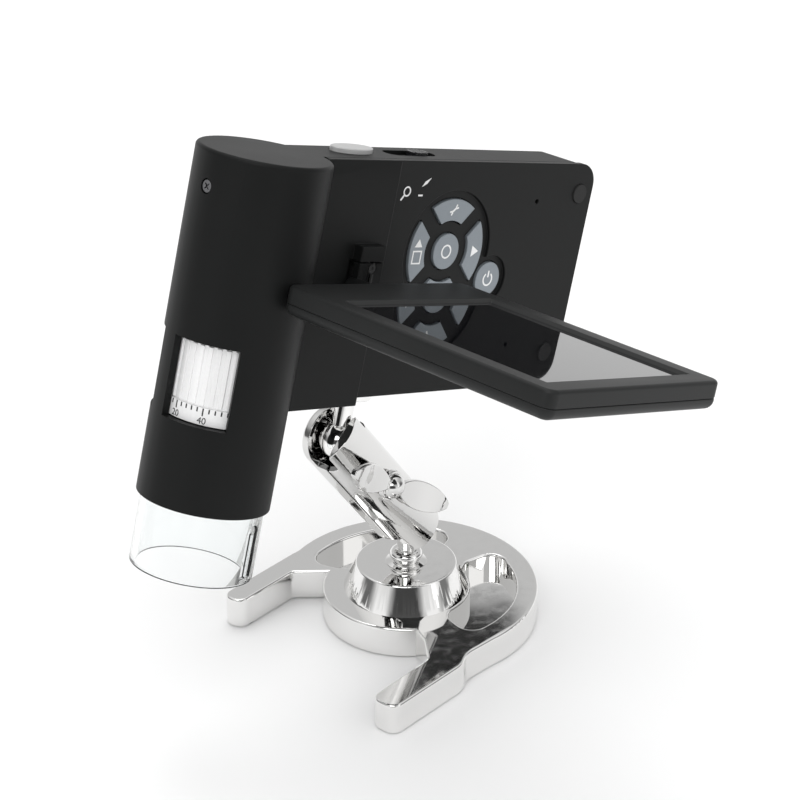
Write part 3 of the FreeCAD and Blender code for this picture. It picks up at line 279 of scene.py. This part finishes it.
FINISHES = {
    "soft_black": soft_black(),
    "screen_black": soft_black("screen_black_paint", 0.010, 0.28),
    "gloss_black": gloss_black(),
    "chrome": chrome("chrome_plate"),
    # Painted shade: a darker copy of the same chrome plate, so that the arm shells and wing nut reflect less
    # light
    "shaded_arm_chrome": chrome("shaded_arm_plate", 0.70),
    "key_grey": key_grey(),
    "button_silver": key_grey("button_silver", grey(0.42), grey(0.50)),
    "dark_steel": metal("dark_steel", (0.26, 0.26, 0.27, 1), 0.3),
    "mark_white": print_ink("mark_white", 0.72, 0.82),
    "tick_black": print_ink("tick_black", 0.01, 0.03),
    "clear": clear_moulding(),
    "silver_wheel": silver_wheel(),
    "scale_white": print_ink("scale_white", 0.72, 0.84, 0.35, 1.0, 0.5),
    "panel": panel_black(),
    "cover": cover_lens(),
    "rubber": rubber(),
    "steel": metal("bright_steel", (0.55, 0.55, 0.56, 1), 0.25),
    "brass": metal("turned_brass", (0.78, 0.58, 0.27, 1), 0.28),
    "board": plain("board_green", (0.01, 0.09, 0.04, 1), (0.02, 0.14, 0.06, 1), 0.4),
    "cell": plain("cell_wrap", (0.30, 0.32, 0.35, 1), (0.38, 0.40, 0.43, 1), 0.3),
    "diode": plain("diode_white", (0.85, 0.85, 0.72, 1), (0.95, 0.95, 0.85, 1), 0.2),
    "lens": lens_glass(),
    "inner_black": plain("inner_black", grey(0.01), grey(0.025), 0.55),
}


CREASE = 32.0


def shade(mesh, angle=CREASE):
    """Smooth shading with creases where faces turn by more than the angle."""
    bm = bmesh.new()
    bm.from_mesh(mesh)
    limit = math.radians(angle)
    for face in bm.faces:
        face.smooth = True
    for edge in bm.edges:
        edge.smooth = len(edge.link_faces) == 2 and edge.calc_face_angle(0.0) < limit
    bm.to_mesh(mesh)
    bm.free()


def add_piece(name, mesh, finish, body, nodes=()):
    piece = bpy.data.objects.new(name, mesh)
    bpy.context.scene.collection.objects.link(piece)
    piece.data.materials.clear()
    piece.data.materials.append(FINISHES[finish])
    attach(piece, body)
    if nodes:
        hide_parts(*nodes)
    return piece


def soften(piece, width):
    """Edges rounded by a width in millimetres."""
    edge = piece.modifiers.new("softened_edges", "BEVEL")
    edge.width = width * MM
    edge.segments = 2
    edge.limit_method = "ANGLE"
    edge.angle_limit = math.radians(CREASE)
    edge.use_clamp_overlap = False
    edge.harden_normals = True


def keep_flats(piece):
    """Flat faces keep their own direction, so that only the rounded edges turn the light."""
    even = piece.modifiers.new("even_flats", "WEIGHTED_NORMAL")
    even.mode = "FACE_AREA"
    even.weight = 80
    even.keep_sharp = True


WELD = 1e-7
FLAT_ANGLE = 0.6


def from_cad(node, finish, body, round_over):
    """The construction's own solid with its facets joined, its edges eased and its finish on."""
    bm = bmesh.new()
    bm.from_mesh(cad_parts[node].data)
    bmesh.ops.remove_doubles(bm, verts=bm.verts, dist=WELD)
    bmesh.ops.dissolve_limit(bm, angle_limit=math.radians(FLAT_ANGLE), verts=bm.verts, edges=bm.edges)
    name = node + "_dressed"
    mesh = bpy.data.meshes.new(name)
    bm.to_mesh(mesh)
    bm.free()
    shade(mesh)
    piece = add_piece(name, mesh, finish, body, [node])
    if round_over:
        soften(piece, round_over)
    else:
        keep_flats(piece)


def placed(bm, matrix):
    """Millimetres in a local frame to metres in the row frame."""
    bmesh.ops.transform(bm, matrix=Matrix.Scale(MM, 4) @ matrix, verts=bm.verts)


def to_piece(bm, matrix, name, finish, body):
    placed(bm, matrix)
    mesh = bpy.data.meshes.new(name)
    bm.to_mesh(mesh)
    bm.free()
    shade(mesh)
    return add_piece(name, mesh, finish, body)


# Node of the construction, finish, body, slot, and how far its edges are rounded in millimetres
CAD_PIECES = [
    ("base_casting", "chrome", "base", "chrome", 0.0),
    ("base_cone", "chrome", "base", "chrome", 0.0),
    ("base_feet", "rubber", "base", "rubber", 0.0),
    ("base_screw", "steel", "base", "steel", 0.0),
    ("lower_stud", "chrome", "lower_stud", "chrome", 0.15),
    ("clamp_front_shell", "shaded_arm_chrome", "arm", "chrome", 0.25),
    ("clamp_back_shell", "shaded_arm_chrome", "arm", "chrome", 0.2),
    ("clamp_bolt", "chrome", "arm", "chrome", 0.3),
    ("wing_nut", "shaded_arm_chrome", "wing_nut", "chrome", 0.3),
    ("upper_stud", "chrome", "upper_stud", "chrome", 0.2),
    ("tripod_insert", "brass", "head", "brass", 0.0),
    ("housing_shell", "soft_black", "head", "dark_plastic", 0.0),
    ("front_cover", "soft_black", "head", "gloss_black", 0.25),
    ("stop_pads", "rubber", "head", "rubber", 0.15),
    ("key_switches", "steel", "head", "steel", 0.0),
    ("main_board", "board", "head", "board_green", 0.0),
    ("battery", "cell", "head", "cell_wrap", 0.5),
    ("usb_socket", "steel", "head", "steel", 0.0),
    ("card_socket", "steel", "head", "steel", 0.0),
    ("microphone", "inner_black", "head", "dark_plastic", 0.0),
    ("inner_tube", "inner_black", "head", "dark_plastic", 0.0),
    ("sensor_board", "board", "head", "board_green", 0.0),
    ("led_ring", "board", "head", "board_green", 0.0),
    ("leds", "diode", "head", "led_white", 0.0),
    ("clear_nose", "clear", "head", "clear_plastic", 0.25),
    ("barrel_screw", "dark_steel", "head", "steel", 0.0),
    ("hinge_pin", "steel", "head", "steel", 0.0),
    ("focus_wheel", "silver_wheel", "focus_wheel", "silver_plastic", 0.15),
    ("scale_ring", "scale_white", "focus_wheel", "scale_white", 0.1),
    ("lens_carriage", "inner_black", "lens_carriage", "dark_plastic", 0.0),
    ("lenses", "lens", "lens_carriage", "lens_glass", 0.0),
    ("key_top", "key_grey", "key_top", "silver_plastic", 0.2),
    ("key_left", "key_grey", "key_left", "silver_plastic", 0.2),
    ("key_bottom", "key_grey", "key_bottom", "silver_plastic", 0.2),
    ("key_right", "key_grey", "key_right", "silver_plastic", 0.2),
    ("key_centre", "key_grey", "key_centre", "silver_plastic", 0.2),
    ("key_power", "key_grey", "key_power", "silver_plastic", 0.2),
    ("shutter_button", "button_silver", "shutter_button", "silver_plastic", 0.3),
    ("zoom_lever", "gloss_black", "zoom_lever", "gloss_black", 0.15),
    ("hinge_knuckle", "soft_black", "hinge_knuckle", "gloss_black", 0.2),
    ("hinge_screw", "inner_black", "hinge_knuckle", "steel", 0.1),
    ("swivel_shaft", "chrome", "screen", "chrome", 0.0),
    ("screen_frame", "screen_black", "screen", "gloss_black", 0.3),
    ("screen_back", "screen_black", "screen", "dark_plastic", 0.3),
    ("cover_glass", "cover", "screen", "screen_glass", 0.1),
    ("lcd_panel", "panel", "screen", "screen_glass", 0.0),
    ("screen_screws", "steel", "screen", "steel", 0.1),
]
for node, finish, body, slot, round_over in CAD_PIECES:
    from_cad(node, finish, body, round_over)


# Printed marks: thin plates a hair proud of their surface, drawn with x to the right and y up
MARK_THICK = 0.06


RING_STEPS = 32


def ring(bm, outer, inner, gap=0.0):
    """Flat ring about the mark's middle, or a ring with a gap of so many degrees at its top."""
    turn = Matrix.Rotation(math.radians(90 + gap / 2), 4, "Z")
    ends = [bm.verts.new(turn @ Vector((r, 0, 0))) for r in (inner, outer)]
    edge = bm.edges.new(ends)
    bmesh.ops.spin(bm, geom=ends + [edge], cent=(0, 0, 0), axis=(0, 0, 1), angle=math.radians(360 - gap),
                   steps=RING_STEPS, use_merge=gap == 0)


def patch(bm, *corners):
    """Flat face through its corners."""
    bm.faces.new([bm.verts.new((x, y, 0)) for x, y in corners])


def bar(bm, start, end, width):
    """Straight stroke."""
    along = (Vector(end) - Vector(start)).normalized()
    side = Vector((-along.y, along.x)) * width / 2
    a, b = Vector(start), Vector(end)
    patch(bm, a - side, b - side, b + side, a + side)


def spanner(bm, size, turn):
    """Double-ended spanner about the mark's middle; the shares below are of its size."""
    along = Vector((math.cos(math.radians(turn)), math.sin(math.radians(turn))))
    side = Vector((-along.y, along.x))
    bar(bm, -along * size * 0.62, along * size * 0.62, size * 0.34)
    for sign in (-1, 1):
        for lift in (-1, 1):
            root = along * sign * size * 0.55 + side * lift * size * 0.12
            tip = along * sign * size * 1.05 + side * lift * size * 0.36
            bar(bm, root, tip, size * 0.3)


def lift_marks(bm):
    """Give flat faces the thickness of a mark."""
    bmesh.ops.recalc_face_normals(bm, faces=bm.faces)
    made = bmesh.ops.extrude_face_region(bm, geom=list(bm.faces))
    tops = [v for v in made["geom"] if isinstance(v, bmesh.types.BMVert)]
    bmesh.ops.translate(bm, verts=tops, vec=(0, 0, MARK_THICK))
    bmesh.ops.recalc_face_normals(bm, faces=bm.faces)


def face_matrix(x, y, z):
    """Marks on the keypad side: their x along the housing and their y up the barrel."""
    return HEAD @ Matrix.Translation((x, y, z)) @ Matrix.Rotation(math.radians(90), 4, "X")


def mark_piece(name, draw, where, body):
    bm = bmesh.new()
    draw(bm)
    lift_marks(bm)
    to_piece(bm, where, name, "mark_white", body)


# Marks sink this much into their surface
MARK_SUNK = 0.01
SPANNER_SIZE = 1.5


def on_key(name, draw, x, z, body):
    mark_piece(name, draw, face_matrix(x, KEY_FACE_Y + MARK_SUNK, z), body)


def right_mark(bm):
    """Filled triangle."""
    patch(bm, (-1.1, -1.5), (1.5, 0), (-1.1, 1.5))


def left_mark(bm):
    """Filled triangle over a hollow square."""
    patch(bm, (-1.2, 1.3), (1.6, 1.3), (0.2, 3.4))
    left, low, right, high, line = -1.5, -3.2, 1.9, 0.4, 0.4
    strokes = ((left, low, right, low + line), (left, high - line, right, high),
               (left, low + line, left + line, high - line), (right - line, low + line, right, high - line))
    for x0, y0, x1, y1 in strokes:
        patch(bm, (x0, y0), (x1, y0), (x1, y1), (x0, y1))


def centre_mark(bm):
    ring(bm, 1.9, 1.45)


def power_mark(bm):
    """Open ring with a stroke in its gap."""
    ring(bm, 1.9, 1.45, gap=70)
    bar(bm, (0, 0.5), (0, 2.3), 0.5)


def magnifier(bm):
    ring(bm, 1.35, 0.95)
    bar(bm, (-0.85, -0.95), (-1.9, -2.3), 0.5)


on_key("mark_top", lambda bm: spanner(bm, SPANNER_SIZE, 40), KEYS.x, KEYS.z + KEY_MID_R, "key_top")
on_key("mark_bottom", lambda bm: spanner(bm, SPANNER_SIZE, 130), KEYS.x, KEYS.z - KEY_MID_R, "key_bottom")
on_key("mark_right", right_mark, KEYS.x + KEY_MID_R, KEYS.z, "key_right")
on_key("mark_left", left_mark, KEYS.x - KEY_MID_R - 0.2, KEYS.z, "key_left")
on_key("mark_centre", centre_mark, KEYS.x, KEYS.z, "key_centre")
on_key("mark_power", power_mark, POWER.x, POWER.z, "key_power")


def on_face(name, draw, x, z):
    mark_piece(name, draw, face_matrix(x, FACE_Y + MARK_SUNK, z), "head")


on_face("mark_magnifier", magnifier, 45.4, 79.6)
on_face("mark_minus", lambda bm: bar(bm, (-0.8, 0), (0.8, 0), 0.45), 50.6, 78.6)
on_face("mark_arrow", lambda bm: patch(bm, (-1.6, -0.9), (0.2, 0.0), (1.4, 1.5), (-0.6, 0.5)), 52.2, 81.7)

# Ticks and plain numbers round the focus scale
TICKS = 60
TICK_WIDTH = 0.34
TICK_THICK = 0.10
LONG_TICK = 1.9
SHORT_TICK = 1.1
FIGURE_SIZE = 2.3
FIGURE_LIFT = 0.35
FIRST_FIGURE_ANGLE = 150
FIGURE_STEP = 20
FIGURE_STEP_ANGLE = 30
FIGURES = 11


def scale_ticks():
    bm = bmesh.new()
    for index in range(TICKS):
        tall = LONG_TICK if index % 5 == 0 else SHORT_TICK
        turn = Matrix.Rotation(2 * math.pi * index / TICKS, 4, "Z")
        size = Matrix.Diagonal((TICK_THICK, TICK_WIDTH, tall, 1.0))
        middle = Matrix.Translation((SCALE_R, 0, SCALE_TOP - tall / 2))
        bmesh.ops.create_cube(bm, size=1.0, matrix=turn @ middle @ size)
    to_piece(bm, HEAD, "scale_ticks", "tick_black", "focus_wheel")


def scale_number(text, angle):
    """Plain figures wrapped round the scale ring."""
    curve = bpy.data.curves.new("figures", "FONT")
    curve.body = text
    curve.size = FIGURE_SIZE
    curve.align_x = "CENTER"
    holder = bpy.data.objects.new("figures", curve)
    flat = bpy.data.meshes.new_from_object(holder)
    bm = bmesh.new()
    bm.from_mesh(flat)
    bpy.data.objects.remove(holder)
    lift_marks(bm)
    for vert in bm.verts:
        turn = math.radians(angle) + vert.co.x / SCALE_R
        radius = SCALE_R - MARK_SUNK + vert.co.z
        height = SCALE_LOW + FIGURE_LIFT + vert.co.y
        vert.co = Vector((radius * math.cos(turn), radius * math.sin(turn), height))
    to_piece(bm, HEAD, "figure_" + text, "tick_black", "focus_wheel")


scale_ticks()
for step in range(FIGURES):
    scale_number(str(step * FIGURE_STEP), FIRST_FIGURE_ANGLE + step * FIGURE_STEP_ANGLE)


FLOOR_SIZE = 3.0


def stage():
    """Pale, slightly uneven floor."""
    floor = bpy.data.objects.new("floor", bpy.data.meshes.new("floor"))
    bm = bmesh.new()
    bmesh.ops.create_grid(bm, x_segments=1, y_segments=1, size=FLOOR_SIZE)
    bm.to_mesh(floor.data)
    bm.free()
    bpy.context.scene.collection.objects.link(floor)
    finish = Finish("pale_floor", Roughness=0.55, Specular_IOR_Level=0.3)
    cloud = finish.noise(0.002, 2.0)
    finish.set(Base_Color=finish.mix(cloud, grey(0.90), grey(0.93)))
    floor.data.materials.append(finish.material)


def softbox(name, place, target, size, watts):
    """Rectangular soft light aimed at a point; places and sizes are in metres."""
    light = bpy.data.lights.new(name, "AREA")
    light.shape = "RECTANGLE"
    light.size, light.size_y = size
    light.energy = watts
    lamp = bpy.data.objects.new(name, light)
    lamp.location = place
    lamp.rotation_euler = (Vector(target) - Vector(place)).to_track_quat("-Z", "Y").to_euler()
    bpy.context.scene.collection.objects.link(lamp)


# Dark screens round the stage, low down: compass turn, half width in degrees, depth of tone
DARK_SCREENS = ((220.0, 32.0, 0.92), (310.0, 26.0, 0.80), (130.0, 26.0, 0.85))
SCREEN_EDGE = 0.06

# Dark card behind the stand, whose reflection lies across the nearer leg
CARD_TURN = 38.6
CARD_HEIGHT = 33.5
CARD_SPAN = (32.5, 36.0)
CARD_HALF = math.sin(math.radians(1.5)) * math.cos(math.radians(CARD_HEIGHT))
CARD_DEPTH = 0.96

# Grey belt half way up the room, which the level plated faces mirror
BELT_DEPTH = 0.42


def level_way(turn):
    return (math.cos(math.radians(turn)), math.sin(math.radians(turn)), 0.0)


def dark_screens(room, way, height):
    low_band = height.part(-0.05, 0.05) * (1.0 - height.part(0.38, 0.55))
    total = None
    for turn, half, depth in DARK_SCREENS:
        edge = math.cos(math.radians(half))
        screen = room.toward(way, level_way(turn)).part(edge - SCREEN_EDGE, edge + SCREEN_EDGE) * depth
        total = screen if total is None else total + screen
    return low_band * total


def dark_card(room, way, height):
    low, high = (math.sin(math.radians(angle)) for angle in CARD_SPAN)
    ahead = room.toward(way, level_way(CARD_TURN)).over(0.0)
    across = room.toward(way, level_way(CARD_TURN + 90.0))
    card = ahead * height.part(low - 0.002, low + 0.002) * (1.0 - height.part(high, high + 0.02))
    card = card * across.part(-CARD_HALF - 0.004, -CARD_HALF + 0.004)
    return card * (1.0 - across.part(CARD_HALF - 0.004, CARD_HALF + 0.004)) * CARD_DEPTH


def studio():
    """White room; mirrored in the plated parts it also has the belt, the screens and the card."""
    world = bpy.data.worlds.new("studio")
    bpy.context.scene.world = world
    world.use_nodes = True
    room = Finish.__new__(Finish)
    room.tree = world.node_tree
    back = room.tree.nodes["Background"]
    way = room.add("ShaderNodeTexCoord").outputs["Generated"]
    split = room.add("ShaderNodeSeparateXYZ", None, {0: way})
    height = Signal(room, split.outputs[2])
    belt = height.part(0.10, 0.38) * (1.0 - height.part(0.60, 0.90))
    shown = (1.0 - BELT_DEPTH * belt) * (1.0 - dark_screens(room, way, height))
    shown = shown * (1.0 - dark_card(room, way, height))
    mirrored = room.add("ShaderNodeCombineXYZ", None, {0: shown, 1: shown, 2: shown}).outputs[0]
    path = room.add("ShaderNodeLightPath")
    room.feed(back.inputs["Color"], room.mix(path.outputs["Is Glossy Ray"], grey(1.0), mirrored))
    back.inputs["Strength"].default_value = 1.0
    softbox("key_softbox", (-0.9, -0.5, 1.1), (0, 0, 0.07), (0.9, 0.9), 5.0)
    softbox("side_softbox", (0.3, -1.2, 0.6), (0, 0, 0.07), (0.5, 0.9), 0.8)
    softbox("back_softbox", (0.35, 0.45, 1.7), (0, 0, 0.07), (0.8, 0.8), 4.0)


def photograph():
    """Camera at the photograph's viewpoint."""
    data = bpy.data.cameras.new("camera")
    data.lens = LENS
    data.sensor_fit = "HORIZONTAL"
    data.sensor_width = SENSOR
    data.clip_start = 0.01
    camera = bpy.data.objects.new("camera", data)
    turn, drop = math.radians(CAMERA_TURN), math.radians(CAMERA_DROP)
    look = Vector((math.cos(drop) * math.sin(turn), math.cos(drop) * math.cos(turn), -math.sin(drop)))
    camera.location = CAMERA_PLACE * MM
    camera.rotation_euler = look.to_track_quat("-Z", "Y").to_euler()
    bpy.context.scene.collection.objects.link(camera)
    bpy.context.scene.camera = camera


stage()
studio()
photograph()
bpy.context.scene.view_settings.view_transform = "Standard"
